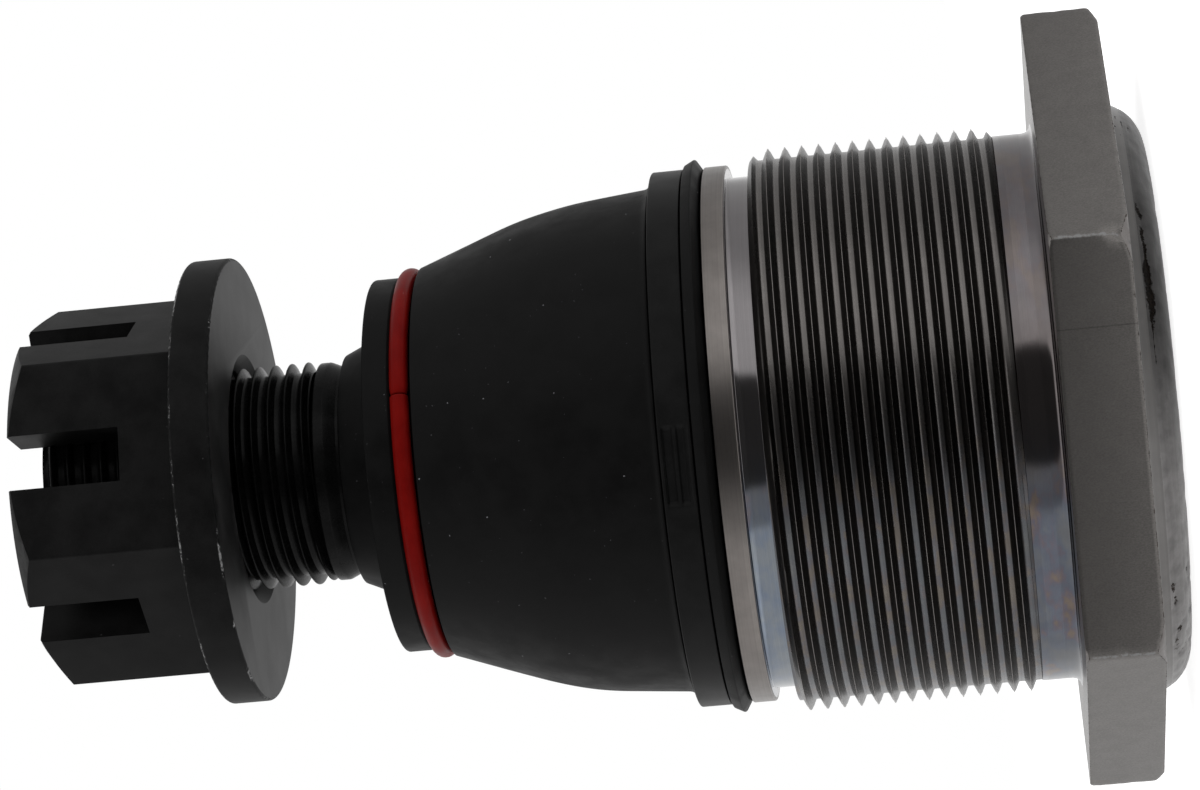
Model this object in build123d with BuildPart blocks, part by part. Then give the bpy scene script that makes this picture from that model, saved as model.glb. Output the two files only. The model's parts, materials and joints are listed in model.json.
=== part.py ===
from build123d import *
from math import asin, cos, degrees, radians, sin, sqrt, tan
import os

# Suspension ball joint with a screw-in housing, standing on its closed end.
# Z = 0 is the end of the crimped rim, +Z points along the stud, and all sizes are in millimetres.

# ---- housing, outside ----
rim_proud = 3.0  # the crimped rim stands this far past the hexagon
rim_wall = 4.45  # steel round the closing plate's pocket
rim_end_width = 3.0  # the rim's flat end face, between its bevel and its rounded edge
hex_across_flats = 60.0
hex_thickness = 6.6
hex_turn = -7.0  # a corner's angle from +X, degrees
hex_chamfer_radial = 1.15
hex_chamfer_axial = 0.75
hex_edge_bevel = 0.3
housing_thread_radius = 25.0  # M50 x 1.5
housing_thread_length = 21.4
housing_pitch = 1.5
relief_depth = 0.85  # plain neck beside the hexagon, below the thread's crests
relief_length = 3.4
relief_fillet = 0.6
groove_depth = 2.25  # below the thread's crests, as are the next two
groove_width = 2.1
collar_depth = 1.1
collar_width = 2.0
spigot_depth = 3.6  # the boot is clamped on this neck
spigot_height = 3.2
spigot_wall = 2.1  # at its end, beside the mouth

# ---- housing, inside ----
barrel_wall = 5.5  # from the thread's crests to the bore
crimp_thickness = 2.95  # the rim is folded in under the closing plate
crimp_reach = 3.5  # how far the folded rim laps over the closing plate
crimp_bevel = 1.2
plate_ledge = 2.0  # shoulder in the bore that the closing plate meets
plate_thickness = 2.2
plate_dish_radius = 12.0
plate_dish_depth = 0.8
spring_height = 1.29  # as it is loaded
spring_thickness = 0.8
spring_width = 6.0  # from its outer to its inner edge
spring_side_gap = 1.5  # to the bore
bearing_wall = 2.4
shell_floor = 2.2  # lower shell's thickness under the ball, beside its centre hole
shell_hole_radius = 10.0
shell_fit = 0.05  # each shell in the housing, and the ball in the shells
mouth_half_angle = 59.0  # from the axis, where the spherical seat opens
press_gap = 0.05  # between pieces that are trapped in the housing

# ---- ball stud ----
ball_flat_inset = 2.8  # flat under the ball, short of the full sphere
neck_radius = 9.2
neck_fillet = 0.6
taper_large_radius = 10.8
taper_small_radius = 9.85
taper_shoulder_height = 30.1  # neck ends here, above the ball centre
taper_shoulder_run = 2.0
taper_length = 17.6
undercut_radius = 9.2
undercut_width = 0.9
stud_collar_radius = 9.8
stud_collar_width = 1.4
stud_thread_radius = 10.0  # M20 x 1.5
stud_thread_length = 24.3
stud_pitch = 1.5
stud_end_chamfer = 1.3
cotter_hole_radius = 2.1
cotter_hole_from_end = 4.5

# ---- rubber boot, its clamp band and its ring ----
boot_wall = 2.0
boot_gap = 0.15  # boot to the pieces that it touches
boot_seat_wall = 1.4  # rubber between the spigot and the clamp band
band_width = 2.8
band_thickness = 0.8
band_joint_angle = 16.0  # the band is thinned here, where its ends lock together
band_joint_turn = -95.0  # middle of the joint, from +X, degrees
band_joint_depth = 0.5
lip_width = 1.7
lip_proud = 0.8  # flared lip's edge past the clamp band
lip_peak_height = 0.7
lip_foot_inset = 0.3  # inside the clamp band's outer face
bell_foot_run = 0.4  # from the band to the foot of the bell
bell_foot_inset = 1.4  # inside the clamp band's outer face
bell_draft = 0.9  # the bell narrows this much up to where its two straight walls would meet
bell_corner_height = 9.8
bell_blend_radius = 32.0
bell_top_radius = 17.5
ring_section_radius = 0.83
ring_inset = 0.8  # middle of the ring's section inside the bell's top edge
ring_land = 0.12  # rubber on each side of the ring's groove
ring_groove_inset = 0.1  # the groove holds a little less than half of the ring
ring_gap_angle = 1.6
ring_gap_turn = -69.0
seal_flange_inset = 0.75  # inside the bell's top edge
seal_flange_width = 2.2
bead_length = 3.2
bead_height = 0.9  # from the sealing flange to the bead's rounded part
bead_lip_wall = 0.29  # rubber at the bead's end
bead_round = 0.8  # the bead widens this much from its end to its rounded part
bead_flare = 0.8  # and this much from there to its foot
bead_setback = 0.15  # the bead ends this far short of the stud's undercut
boot_grip_length = 5.0  # stretch of the small end that hugs the taper

# ---- castle nut ----
nut_height = 18.9
nut_across_flats = 30.0
nut_turn = 12.8
nut_flange_radius = 20.0
nut_flange_thickness = 3.55
nut_flange_fillet = 0.3
nut_chamfer_inset = 0.1  # the end chamfer starts this far inside the flats
nut_chamfer_angle = 34.0
nut_edge_fillet = 0.3
nut_bore_fit = 0.06  # plain bore over the stud's thread crests
nut_countersink = 1.2
nut_past_stud = 1.7  # the nut's end stands past the stud's end
slot_width = 4.8
slot_depth = 9.9
slot_pairs = 3  # each pair of opposite slots takes a cotter pin

# ---- threads and construction ----
thread_flank_angle = 30.0  # each flank, from the radial direction
thread_depth_share = 0.6134  # of the pitch, as metric external threads have
thread_crest_share = 0.125  # flat crest, of the pitch
equator = 90.0  # angle of the ball's widest circle, from +Z
half_flat_angle = 30.0  # from a hexagon's corner to the middle of its flat
cut_margin = 1.0  # cutters run this far past what they cut
match_tolerance = 0.01  # an edge this near to a size has that size

# ---- radii of the barrel and of the bearing ----
relief_radius = housing_thread_radius - relief_depth
groove_radius = housing_thread_radius - groove_depth
collar_radius = housing_thread_radius - collar_depth
spigot_radius = housing_thread_radius - spigot_depth
mouth_radius = spigot_radius - spigot_wall
seat_radius = housing_thread_radius - barrel_wall  # spherical seat, and the bore below it
plate_radius = seat_radius + plate_ledge
shell_outer_radius = seat_radius - shell_fit
shell_inner_radius = shell_outer_radius - bearing_wall
ball_radius = shell_inner_radius - shell_fit

# ---- heights of the housing, from the rim's end ----
seat_z = rim_proud + hex_thickness
thread_z = seat_z + relief_length
groove_z = thread_z + housing_thread_length
collar_z = groove_z + groove_width
shoulder_z = collar_z + collar_width
spigot_z = shoulder_z + spigot_height

# ---- heights of what the housing holds, stacked on the folded rim ----
plate_foot_z = crimp_thickness + press_gap
plate_z = plate_foot_z + plate_thickness
spring_foot_z = plate_z + press_gap
spring_top_z = spring_foot_z + spring_height
lower_shell_z = spring_top_z + press_gap
shell_hole_top_z = lower_shell_z + shell_floor
ball_z = shell_hole_top_z + sqrt(shell_inner_radius**2 - shell_hole_radius**2)

# ---- heights of the stud and the nut, from the ball's centre ----
taper_z = ball_z + taper_shoulder_height + taper_shoulder_run
taper_end_z = taper_z + taper_length
stud_collar_z = taper_end_z + undercut_width
stud_thread_z = stud_collar_z + stud_collar_width
stud_end_z = stud_thread_z + stud_thread_length
nut_end_z = stud_end_z + nut_past_stud
nut_z = nut_end_z - nut_height

# ---- the boot's large end stands on the housing, its small end hangs from the stud ----
lip_z = shoulder_z + boot_gap
band_z = lip_z + lip_width
band_top_z = band_z + band_width
bell_z = band_top_z + bell_foot_run
ring_groove_radius = ring_section_radius + boot_gap
bead_top_z = taper_end_z - bead_setback
seal_flange_top_z = bead_top_z - bead_length
seal_flange_z = seal_flange_top_z - seal_flange_width
ring_z = seal_flange_z - ring_land - ring_groove_radius
bell_top_z = ring_z - ring_groove_radius - ring_land


def ridge_points(crest_radius, start_z, length, pitch):
    """Outline of a 60 degree thread, upwards: (radius, height) corners of each ridge."""
    depth = thread_depth_share * pitch
    half_crest = thread_crest_share * pitch / 2
    half_foot = half_crest + depth * tan(radians(thread_flank_angle))
    root_radius = crest_radius - depth
    count = int((length - 2 * half_foot) / pitch) + 1
    first_z = start_z + (length - (count - 1) * pitch) / 2
    points = []
    for k in range(count):
        middle = first_z + k * pitch
        points += [
            (root_radius, middle - half_foot),
            (crest_radius, middle - half_crest),
            (crest_radius, middle + half_crest),
            (root_radius, middle + half_foot),
        ]
    return points


def on_ball(radius, half_angle):
    """Point on a sphere about the ball centre, at an angle from +Z in degrees."""
    a = radians(half_angle)
    return (radius * sin(a), ball_z + radius * cos(a))


def ball_arc(radius, start_angle, end_angle):
    """Arc about the ball centre, between two angles from +Z in degrees."""
    middle_angle = (start_angle + end_angle) / 2
    return ThreePointArc(
        on_ball(radius, start_angle), on_ball(radius, middle_angle), on_ball(radius, end_angle)
    )


def taper_radius_at(z):
    """Radius of the stud's taper at a height."""
    share = (z - taper_z) / taper_length
    return taper_large_radius + (taper_small_radius - taper_large_radius) * share


def circles_of(piece, radius):
    """Circular edges of a piece that have this radius."""
    circles = piece.edges().filter_by(GeomType.CIRCLE)
    return circles.filter_by(lambda edge: abs(edge.radius - radius) < match_tolerance)


# ---- housing: barrel, hexagon, crimped rim ----
hex_corner_radius = hex_across_flats / sqrt(3)
plate_pocket_radius = plate_radius + press_gap
crimp_opening_radius = plate_radius - crimp_reach
rim_radius = plate_pocket_radius + rim_wall
rim_end_radius = crimp_opening_radius + crimp_bevel + rim_end_width
hex_ring_radius = (plate_pocket_radius + relief_radius) / 2  # the hexagon joins the barrel in its wall

with BuildPart() as housing:
    with BuildSketch(Plane.XZ):
        with BuildLine():
            Polyline(
                (rim_radius, rim_proud),
                (relief_radius, rim_proud),
                (relief_radius, thread_z),
                *ridge_points(housing_thread_radius, thread_z, housing_thread_length, housing_pitch),
                (groove_radius, groove_z),
                (groove_radius, collar_z),
                (collar_radius, collar_z),
                (collar_radius, shoulder_z),
                (spigot_radius, shoulder_z),
                (spigot_radius, spigot_z),
                (mouth_radius, spigot_z),
                on_ball(seat_radius, mouth_half_angle),
            )
            ball_arc(seat_radius, mouth_half_angle, equator)
            Polyline(
                on_ball(seat_radius, equator),
                (seat_radius, plate_z),
                (plate_pocket_radius, plate_z),
                (plate_pocket_radius, crimp_thickness),
                (crimp_opening_radius, crimp_thickness),
                (crimp_opening_radius, crimp_bevel),
                (crimp_opening_radius + crimp_bevel, 0),
                (rim_end_radius, 0),
            )
            TangentArc((rim_end_radius, 0), (rim_radius, rim_proud), tangent=(1, 0))
        make_face()
    revolve(axis=Axis.Z)
    with BuildSketch(Plane.XY.offset(rim_proud)):
        RegularPolygon(hex_across_flats / 2, 6, major_radius=False, rotation=hex_turn)
        Circle(hex_ring_radius, mode=Mode.SUBTRACT)
    extrude(amount=hex_thickness)
    with BuildSketch(Plane.XZ):
        with BuildLine():
            # each cutter's slope is carried past the corner by as much as it cuts in
            Polyline(
                (hex_corner_radius - hex_chamfer_radial, rim_proud),
                (hex_corner_radius + hex_chamfer_radial, rim_proud),
                (hex_corner_radius + hex_chamfer_radial, rim_proud + 2 * hex_chamfer_axial),
                close=True,
            )
        make_face()
        with BuildLine():
            Polyline(
                (hex_corner_radius - hex_edge_bevel, seat_z),
                (hex_corner_radius + hex_edge_bevel, seat_z),
                (hex_corner_radius + hex_edge_bevel, seat_z - 2 * hex_edge_bevel),
                close=True,
            )
        make_face()
    revolve(axis=Axis.Z, mode=Mode.SUBTRACT)
    seat_corner = circles_of(housing, relief_radius).filter_by_position(
        Axis.Z, seat_z - match_tolerance, seat_z + match_tolerance
    )
    fillet(seat_corner, relief_fillet)

# ---- bearing shells, spring and closing plate ----
shell_hole_angle = 180 - degrees(asin(shell_hole_radius / shell_inner_radius))
upper_shell_angle = equator - degrees(asin(press_gap / shell_outer_radius))

with BuildPart() as upper_bearing_shell:
    with BuildSketch(Plane.XZ):
        with BuildLine():
            ball_arc(shell_outer_radius, upper_shell_angle, mouth_half_angle)
            Line(
                on_ball(shell_outer_radius, mouth_half_angle),
                on_ball(shell_inner_radius, mouth_half_angle),
            )
            ball_arc(shell_inner_radius, mouth_half_angle, upper_shell_angle)
            Line(
                on_ball(shell_inner_radius, upper_shell_angle),
                on_ball(shell_outer_radius, upper_shell_angle),
            )
        make_face()
    revolve(axis=Axis.Z)

with BuildPart() as lower_bearing_shell:
    with BuildSketch(Plane.XZ):
        with BuildLine():
            Polyline(
                on_ball(shell_inner_radius, shell_hole_angle),
                (shell_hole_radius, lower_shell_z),
                (shell_outer_radius, lower_shell_z),
                (shell_outer_radius, ball_z),
                on_ball(shell_inner_radius, equator),
            )
            ball_arc(shell_inner_radius, equator, shell_hole_angle)
        make_face()
    revolve(axis=Axis.Z)

spring_outer_radius = seat_radius - spring_side_gap
spring_inner_radius = spring_outer_radius - spring_width

with BuildPart() as preload_spring:
    with BuildSketch(Plane.XZ):
        with BuildLine():
            Polyline(
                (spring_outer_radius, spring_top_z),
                (spring_outer_radius, spring_top_z - spring_thickness),
                (spring_inner_radius, spring_foot_z),
                (spring_inner_radius, spring_foot_z + spring_thickness),
                close=True,
            )
        make_face()
    revolve(axis=Axis.Z)

plate_dish_z = plate_foot_z + plate_dish_depth

with BuildPart() as closing_plate:
    with BuildSketch(Plane.XZ):
        with BuildLine():
            Polyline(
                (0, plate_z),
                (plate_radius, plate_z),
                (plate_radius, plate_foot_z),
                (plate_dish_radius, plate_foot_z),
                (plate_dish_radius - plate_dish_depth, plate_dish_z),
                (0, plate_dish_z),
                close=True,
            )
        make_face()
    revolve(axis=Axis.Z)

# ---- ball stud: ball, neck, taper, thread and cross hole ----
ball_flat_depth = ball_radius - ball_flat_inset
ball_flat_z = ball_z - ball_flat_depth
ball_flat_radius = sqrt(ball_radius**2 - ball_flat_depth**2)
neck_foot_z = ball_z + sqrt(ball_radius**2 - neck_radius**2)
cotter_z = stud_end_z - cotter_hole_from_end
slot_turn = nut_turn - half_flat_angle  # the slots lie in the middle of the nut's flats
cotter_axis = (cos(radians(slot_turn)), sin(radians(slot_turn)), 0)

with BuildPart() as ball_stud:
    with BuildSketch(Plane.XZ):
        with BuildLine():
            Line((0, ball_flat_z), (ball_flat_radius, ball_flat_z))
            ThreePointArc(
                (ball_flat_radius, ball_flat_z), (ball_radius, ball_z), (neck_radius, neck_foot_z)
            )
            Polyline(
                (neck_radius, neck_foot_z),
                (neck_radius, taper_z - taper_shoulder_run),
                (taper_large_radius, taper_z),
                (taper_small_radius, taper_end_z),
                (undercut_radius, taper_end_z),
                (undercut_radius, stud_collar_z),
                (stud_collar_radius, stud_collar_z),
                (stud_collar_radius, stud_thread_z),
                *ridge_points(
                    stud_thread_radius,
                    stud_thread_z,
                    stud_thread_length - stud_end_chamfer,
                    stud_pitch,
                ),
                (stud_thread_radius - stud_end_chamfer, stud_end_z),
                (0, stud_end_z),
                (0, ball_flat_z),
            )
        make_face()
    revolve(axis=Axis.Z)
    neck_corner = circles_of(ball_stud, neck_radius).sort_by(Axis.Z)[0]
    fillet(neck_corner, neck_fillet)
    with BuildSketch(Plane(origin=(0, 0, cotter_z), z_dir=cotter_axis)):
        Circle(cotter_hole_radius)
    extrude(amount=stud_thread_radius + cut_margin, both=True, mode=Mode.SUBTRACT)

# ---- castle nut: flange, hexagon, end chamfer, slots and bore ----
nut_corner_radius = nut_across_flats / sqrt(3)
nut_bore_radius = stud_thread_radius + nut_bore_fit
nut_hex_z = nut_z + nut_flange_thickness
nut_chamfer_radius = nut_across_flats / 2 - nut_chamfer_inset
nut_chamfer_run = nut_corner_radius + cut_margin - nut_chamfer_radius
nut_chamfer_drop = nut_chamfer_run * tan(radians(nut_chamfer_angle))

with BuildPart() as castle_nut:
    with BuildSketch(Plane.XY.offset(nut_hex_z)):
        RegularPolygon(nut_across_flats / 2, 6, major_radius=False, rotation=nut_turn)
    extrude(amount=nut_height - nut_flange_thickness)
    fillet(castle_nut.edges().filter_by(Axis.Z), nut_edge_fillet)
    with BuildSketch(Plane.XZ):
        with BuildLine():
            Polyline(
                (nut_chamfer_radius, nut_end_z),
                (nut_chamfer_radius + nut_chamfer_run, nut_end_z - nut_chamfer_drop),
                (nut_chamfer_radius + nut_chamfer_run, nut_end_z),
                close=True,
            )
        make_face()
    revolve(axis=Axis.Z, mode=Mode.SUBTRACT)
    with BuildSketch(Plane.XY.offset(nut_end_z)):
        with PolarLocations(0, slot_pairs, start_angle=slot_turn):
            Rectangle(2 * (nut_corner_radius + cut_margin), slot_width)
    extrude(amount=-slot_depth, mode=Mode.SUBTRACT)
    with BuildSketch(Plane.XZ) as flange_profile:
        with Locations((0, nut_z)):
            Rectangle(nut_flange_radius, nut_flange_thickness, align=(Align.MIN, Align.MIN))
        fillet(flange_profile.vertices().group_by(Axis.X)[-1], nut_flange_fillet)
    revolve(axis=Axis.Z)
    with BuildSketch(Plane.XZ):
        with BuildLine():
            Polyline(
                (0, nut_z),
                (nut_bore_radius + nut_countersink, nut_z),
                (nut_bore_radius, nut_z + nut_countersink),
                (nut_bore_radius, nut_end_z),
                (0, nut_end_z),
                close=True,
            )
        make_face()
    revolve(axis=Axis.Z, mode=Mode.SUBTRACT)

# ---- rubber boot: lip, clamp seat, bell, ring groove, sealing flange and bead ----
boot_foot_radius = spigot_radius + boot_gap
boot_step_z = spigot_z + boot_gap
band_seat_radius = boot_foot_radius + boot_seat_wall
band_inner_radius = band_seat_radius + boot_gap
band_radius = band_inner_radius + band_thickness
lip_foot_radius = band_radius - lip_foot_inset
lip_radius = band_radius + lip_proud
bell_foot_radius = band_radius - bell_foot_inset
bell_corner_radius = bell_foot_radius - bell_draft
ring_centre_radius = bell_top_radius - ring_inset
groove_lip_radius = ring_centre_radius - ring_groove_inset
groove_half_width = sqrt(ring_groove_radius**2 - ring_groove_inset**2)
seal_flange_radius = bell_top_radius - seal_flange_inset
bead_bore_radius = taper_radius_at(bead_top_z) + boot_gap
bead_lip_radius = bead_bore_radius + bead_lip_wall
bead_radius = bead_lip_radius + bead_round
bead_foot_radius = bead_radius + bead_flare
grip_z = bead_top_z - boot_grip_length

with BuildPart() as boot:
    with BuildSketch(Plane.XZ):
        with BuildLine():
            Polyline(
                (boot_foot_radius, lip_z),
                (lip_foot_radius, lip_z),
                (lip_radius, lip_z + lip_peak_height),
                (band_radius, band_z - boot_gap),
                (band_seat_radius, band_z - boot_gap),
                (band_seat_radius, band_top_z + boot_gap),
                (bell_foot_radius, bell_z),
            )
            FilletPolyline(
                (bell_foot_radius, bell_z),
                (bell_corner_radius, bell_z + bell_corner_height),
                (bell_top_radius, bell_top_z),
                radius=bell_blend_radius,
            )
            Line((bell_top_radius, bell_top_z), (groove_lip_radius, ring_z - groove_half_width))
            ThreePointArc(
                (groove_lip_radius, ring_z - groove_half_width),
                (ring_centre_radius - ring_groove_radius, ring_z),
                (groove_lip_radius, ring_z + groove_half_width),
            )
            Polyline(
                (groove_lip_radius, ring_z + groove_half_width),
                (seal_flange_radius, seal_flange_z),
                (seal_flange_radius, seal_flange_top_z),
                (bead_foot_radius, seal_flange_top_z),
                (bead_radius, seal_flange_top_z + bead_height),
                (bead_lip_radius, bead_top_z),
                (bead_bore_radius, bead_top_z),
                (taper_radius_at(grip_z) + boot_gap, grip_z),
                (bell_top_radius - boot_wall, bell_top_z),
            )
            FilletPolyline(
                (bell_top_radius - boot_wall, bell_top_z),
                (bell_corner_radius - boot_wall, bell_z + bell_corner_height),
                (bell_foot_radius - boot_wall, bell_z),
                radius=bell_blend_radius,
            )
            Polyline(
                (bell_foot_radius - boot_wall, bell_z),
                (boot_foot_radius, boot_step_z),
                (boot_foot_radius, lip_z),
            )
        make_face()
    revolve(axis=Axis.Z)


def radial_plane(turn):
    """Plane that holds the stud's axis, turned from +X by an angle in degrees."""
    a = radians(turn)
    return Plane(origin=(0, 0, 0), x_dir=(cos(a), sin(a), 0), z_dir=(sin(a), -cos(a), 0))


# ---- clamp band, thinned over its joint, and the split ring ----
with BuildPart() as boot_clamp_band:
    with BuildSketch(Plane.XZ):
        with Locations((band_inner_radius, band_z)):
            Rectangle(band_thickness, band_width, align=(Align.MIN, Align.MIN))
    revolve(axis=Axis.Z)
    with BuildSketch(radial_plane(band_joint_turn - band_joint_angle / 2)):
        with Locations((band_radius - band_joint_depth, band_z)):
            Rectangle(band_thickness, band_width, align=(Align.MIN, Align.MIN))
    revolve(axis=Axis.Z, revolution_arc=band_joint_angle, mode=Mode.SUBTRACT)

with BuildPart() as boot_seal_ring:
    with BuildSketch(radial_plane(ring_gap_turn + ring_gap_angle / 2)):
        with Locations((ring_centre_radius, ring_z)):
            Circle(ring_section_radius)
    revolve(axis=Axis.Z, revolution_arc=360 - ring_gap_angle)

# ---- one STEP file for each piece ----
os.makedirs("parts", exist_ok=True)
housing.part.label = "housing"
export_step(housing.part, "parts/housing.step")
closing_plate.part.label = "closing_plate"
export_step(closing_plate.part, "parts/closing_plate.step")
preload_spring.part.label = "preload_spring"
export_step(preload_spring.part, "parts/preload_spring.step")
lower_bearing_shell.part.label = "lower_bearing_shell"
export_step(lower_bearing_shell.part, "parts/lower_bearing_shell.step")
upper_bearing_shell.part.label = "upper_bearing_shell"
export_step(upper_bearing_shell.part, "parts/upper_bearing_shell.step")
ball_stud.part.label = "ball_stud"
export_step(ball_stud.part, "parts/ball_stud.step")
boot.part.label = "boot"
export_step(boot.part, "parts/boot.step")
boot_clamp_band.part.label = "boot_clamp_band"
export_step(boot_clamp_band.part, "parts/boot_clamp_band.step")
boot_seal_ring.part.label = "boot_seal_ring"
export_step(boot_seal_ring.part, "parts/boot_seal_ring.step")
castle_nut.part.label = "castle_nut"
export_step(castle_nut.part, "parts/castle_nut.step")
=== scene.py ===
import json
import bmesh
import bpy
import numpy as np
from mathutils import Matrix, Vector


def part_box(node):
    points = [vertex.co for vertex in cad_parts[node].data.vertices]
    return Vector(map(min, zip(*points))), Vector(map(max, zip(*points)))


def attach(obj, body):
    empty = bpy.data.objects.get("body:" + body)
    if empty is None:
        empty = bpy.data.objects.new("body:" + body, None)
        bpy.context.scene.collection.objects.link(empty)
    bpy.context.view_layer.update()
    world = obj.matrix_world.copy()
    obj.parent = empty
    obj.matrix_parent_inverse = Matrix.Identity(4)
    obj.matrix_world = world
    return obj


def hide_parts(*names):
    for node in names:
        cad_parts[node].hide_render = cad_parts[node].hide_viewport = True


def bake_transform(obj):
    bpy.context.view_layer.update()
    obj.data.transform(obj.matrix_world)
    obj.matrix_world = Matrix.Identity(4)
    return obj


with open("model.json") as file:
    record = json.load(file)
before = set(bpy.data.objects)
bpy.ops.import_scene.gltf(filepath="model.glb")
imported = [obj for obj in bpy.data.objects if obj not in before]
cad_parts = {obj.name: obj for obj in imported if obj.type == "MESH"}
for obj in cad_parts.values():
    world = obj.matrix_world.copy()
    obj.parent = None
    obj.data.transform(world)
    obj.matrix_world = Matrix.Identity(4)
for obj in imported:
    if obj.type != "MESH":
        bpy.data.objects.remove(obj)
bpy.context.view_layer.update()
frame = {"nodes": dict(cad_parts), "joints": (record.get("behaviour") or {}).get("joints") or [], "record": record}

mm = 0.001  # lengths below are millimetres, angles are degrees from +X about the stud's axis
mounts = {mount["name"]: mount for mount in frame["record"]["mounts"]}
joints = {joint["name"]: joint for joint in frame["joints"]}
seatHeight = mounts["seat_face"]["pos_m"][2] / mm
ballHeight = joints["swing_x"]["pos_m"][2] / mm
print("frame loaded, seat face at", round(seatHeight, 2), "ball centre at", round(ballHeight, 2))


def nodeSpan(node):
    # lowest and highest point of a CAD node along the axis
    low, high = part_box(node)
    return low.z / mm, high.z / mm


def evenAngles(count):
    return np.arange(count) * 2 * np.pi / count


def turned(radius, height, angles):
    # x = r cos a, y = r sin a, z = h
    return np.stack([radius * np.cos(angles), radius * np.sin(angles), height], axis=-1)


def rings(radii, heights, angles):
    # circles about the axis, with each radius and height one number or one for each angle
    radius = np.stack([np.broadcast_to(value, angles.shape) for value in radii])
    height = np.stack([np.broadcast_to(value, angles.shape) for value in heights])
    return turned(radius, height, angles)


def roundedOutline(corners, steps=4):
    # a polyline of (radius, height, fillet) corners; a fillet is an arc tangent to both of its sides
    points = []
    for index, (r, z, fillet) in enumerate(corners):
        here = np.array([r, z])
        if fillet == 0 or index in (0, len(corners) - 1):
            points.append(here[None])
            continue
        back = np.array(corners[index - 1][:2]) - here
        ahead = np.array(corners[index + 1][:2]) - here
        back, ahead = back / np.linalg.norm(back), ahead / np.linalg.norm(ahead)
        half = np.arccos(np.clip(back @ ahead, -1, 1)) / 2
        middle = (back + ahead) / np.linalg.norm(back + ahead)
        centre = here + middle * fillet / np.sin(half)
        turn = np.linspace(-1, 1, steps + 1)[:, None] * (np.pi / 2 - half)
        across = (ahead - back) / np.linalg.norm(ahead - back)
        points.append(centre - fillet * (np.cos(turn) * middle - np.sin(turn) * across))
    return np.concatenate(points)


def divided(outline, longest):
    # the same outline with every stretch cut into equal parts no longer than the limit
    pieces = []
    for start, end in zip(outline[:-1], outline[1:]):
        count = max(1, int(np.ceil(np.linalg.norm(end - start) / longest)))
        pieces.append(start + (end - start) * np.arange(count)[:, None] / count)
    return np.concatenate([*pieces, outline[-1:]])


def waves(points, size, seed, count=28):
    # a smooth random field from about -1 to 1: plane waves of nearly this length in seeded directions, summed
    rng = np.random.default_rng(seed)
    direction = rng.normal(size=(count, 3))
    direction /= np.linalg.norm(direction, axis=1)[:, None]
    direction *= 2 * np.pi / (size * rng.uniform(0.6, 1.8, count))[:, None]
    phase = rng.uniform(0, 2 * np.pi, count)
    return np.sin(points @ direction.T + phase).sum(axis=-1) / np.sqrt(count)


def bump(distance, width):
    # a bell curve: 1 at no distance, nearly 0 at two widths
    return np.exp(-(distance / width) ** 2)


def turnFrom(angles, degrees):
    # signed angle from a direction, in degrees, -180 to 180
    return (np.degrees(angles) - degrees + 180) % 360 - 180


def hexRadius(angles, flat, turn, rounding):
    # distance to a hexagon's side along each angle; a corner is an arc tangent to both of its sides
    half = np.pi / 6
    offset = (angles - np.radians(turn) + half) % (2 * half) - half
    side = flat / np.cos(half - np.abs(offset))
    centre = (flat - rounding) / np.cos(half)
    arc = centre * np.cos(offset) + np.sqrt(np.maximum(rounding**2 - (centre * np.sin(offset)) ** 2, 0))
    limit = np.arctan2(rounding * np.sin(half), centre + rounding * np.cos(half))
    return np.where(np.abs(offset) < limit, arc, side)


def hexAngles(flat, turn, rounding, count):
    # evenly spaced angles that meet every corner, with four more on each corner's arc
    half = np.pi / 6
    limit = np.arctan2(rounding * np.sin(half), (flat - rounding) / np.cos(half) + rounding * np.cos(half))
    extra = np.array([-1, -0.5, 0.5, 1]) * limit
    corner = np.arange(6)[:, None] * 2 * half + extra
    return np.sort(np.concatenate([evenAngles(count), corner.ravel() % (2 * np.pi)])) + np.radians(turn)


def threadRows(thread, angles):
    # a ridge outline carried along a helix: height = place in the pitch + pitch * (turn + angle / full turn),
    # kept between the thread's ends, where a chamfer brings the radius down to the root
    place, radius = np.array(thread["ridge"]).T
    start, end, pitch = thread["start"], thread["end"], thread["pitch"]
    turns = np.arange(-1, int((end - start) / pitch) + 2)
    height = (start + thread["shift"] + pitch * turns[:, None] + place).ravel()[:, None]
    height = np.clip(height + pitch * (angles - angles[0]) / (2 * np.pi), start, end)
    fromEnd = np.minimum((height - start) * thread["startSlope"], (end - height) * thread["endSlope"])
    radius = np.minimum(np.tile(radius, len(turns))[:, None], radius.min() + fromEnd)
    return turned(radius, height, angles)


def band(grid, slot=0, wearAndEdgeShade=0.0, shift=0):
    return {"grid": grid, "slot": slot, "wearAndEdgeShade": wearAndEdgeShade, "shift": shift}


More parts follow.
